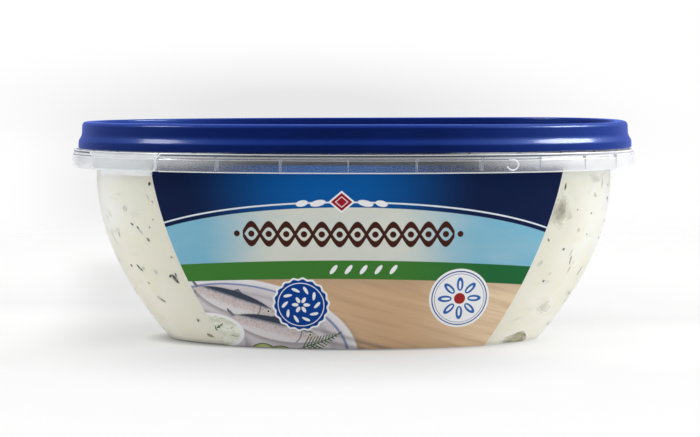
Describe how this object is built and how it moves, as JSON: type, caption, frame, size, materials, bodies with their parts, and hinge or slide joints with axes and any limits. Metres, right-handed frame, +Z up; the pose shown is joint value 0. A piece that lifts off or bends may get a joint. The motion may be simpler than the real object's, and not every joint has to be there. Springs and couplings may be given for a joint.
{
  "type": "lidded food tub of herring fillets in dill sauce",
  "caption": "Shut oval tub: clear flared shell with ribbed rim skirt and pull tab, press-on lid, printed label panels, creamy dill sauce and fish pieces inside.",
  "frame": {"origin": "centre of the pack on the surface it stands on", "axes": "+Z up, the front label faces -Y, +X to the right along the oval's long axis"},
  "size_m": [0.176, 0.1092, 0.0688],
  "materials": {
    "clear_plastic": "clear moulded polypropylene, glossy, faintly hazy",
    "lid_plastic": "injection-moulded deep blue, semi-gloss",
    "dill_sauce": "cream sauce with green and dark dill flecks",
    "herring_flesh": "moist grey-brown fish flesh",
    "gherkin": "moist olive-green gherkin",
    "printed_film": "printed in-mould film, satin gloss, fields of blue, pale blue, green and tan"
  },
  "bodies": {
    "root": {"tub": "clear_plastic", "lid": "lid_plastic", "sauce": "dill_sauce", "herring_bite_upper": "herring_flesh", "herring_bite_lower": "herring_flesh", "gherkin_piece": "gherkin", "label_front": "printed_film", "label_back": "printed_film", "label_base": "printed_film"}
  },
  "joints": []
}
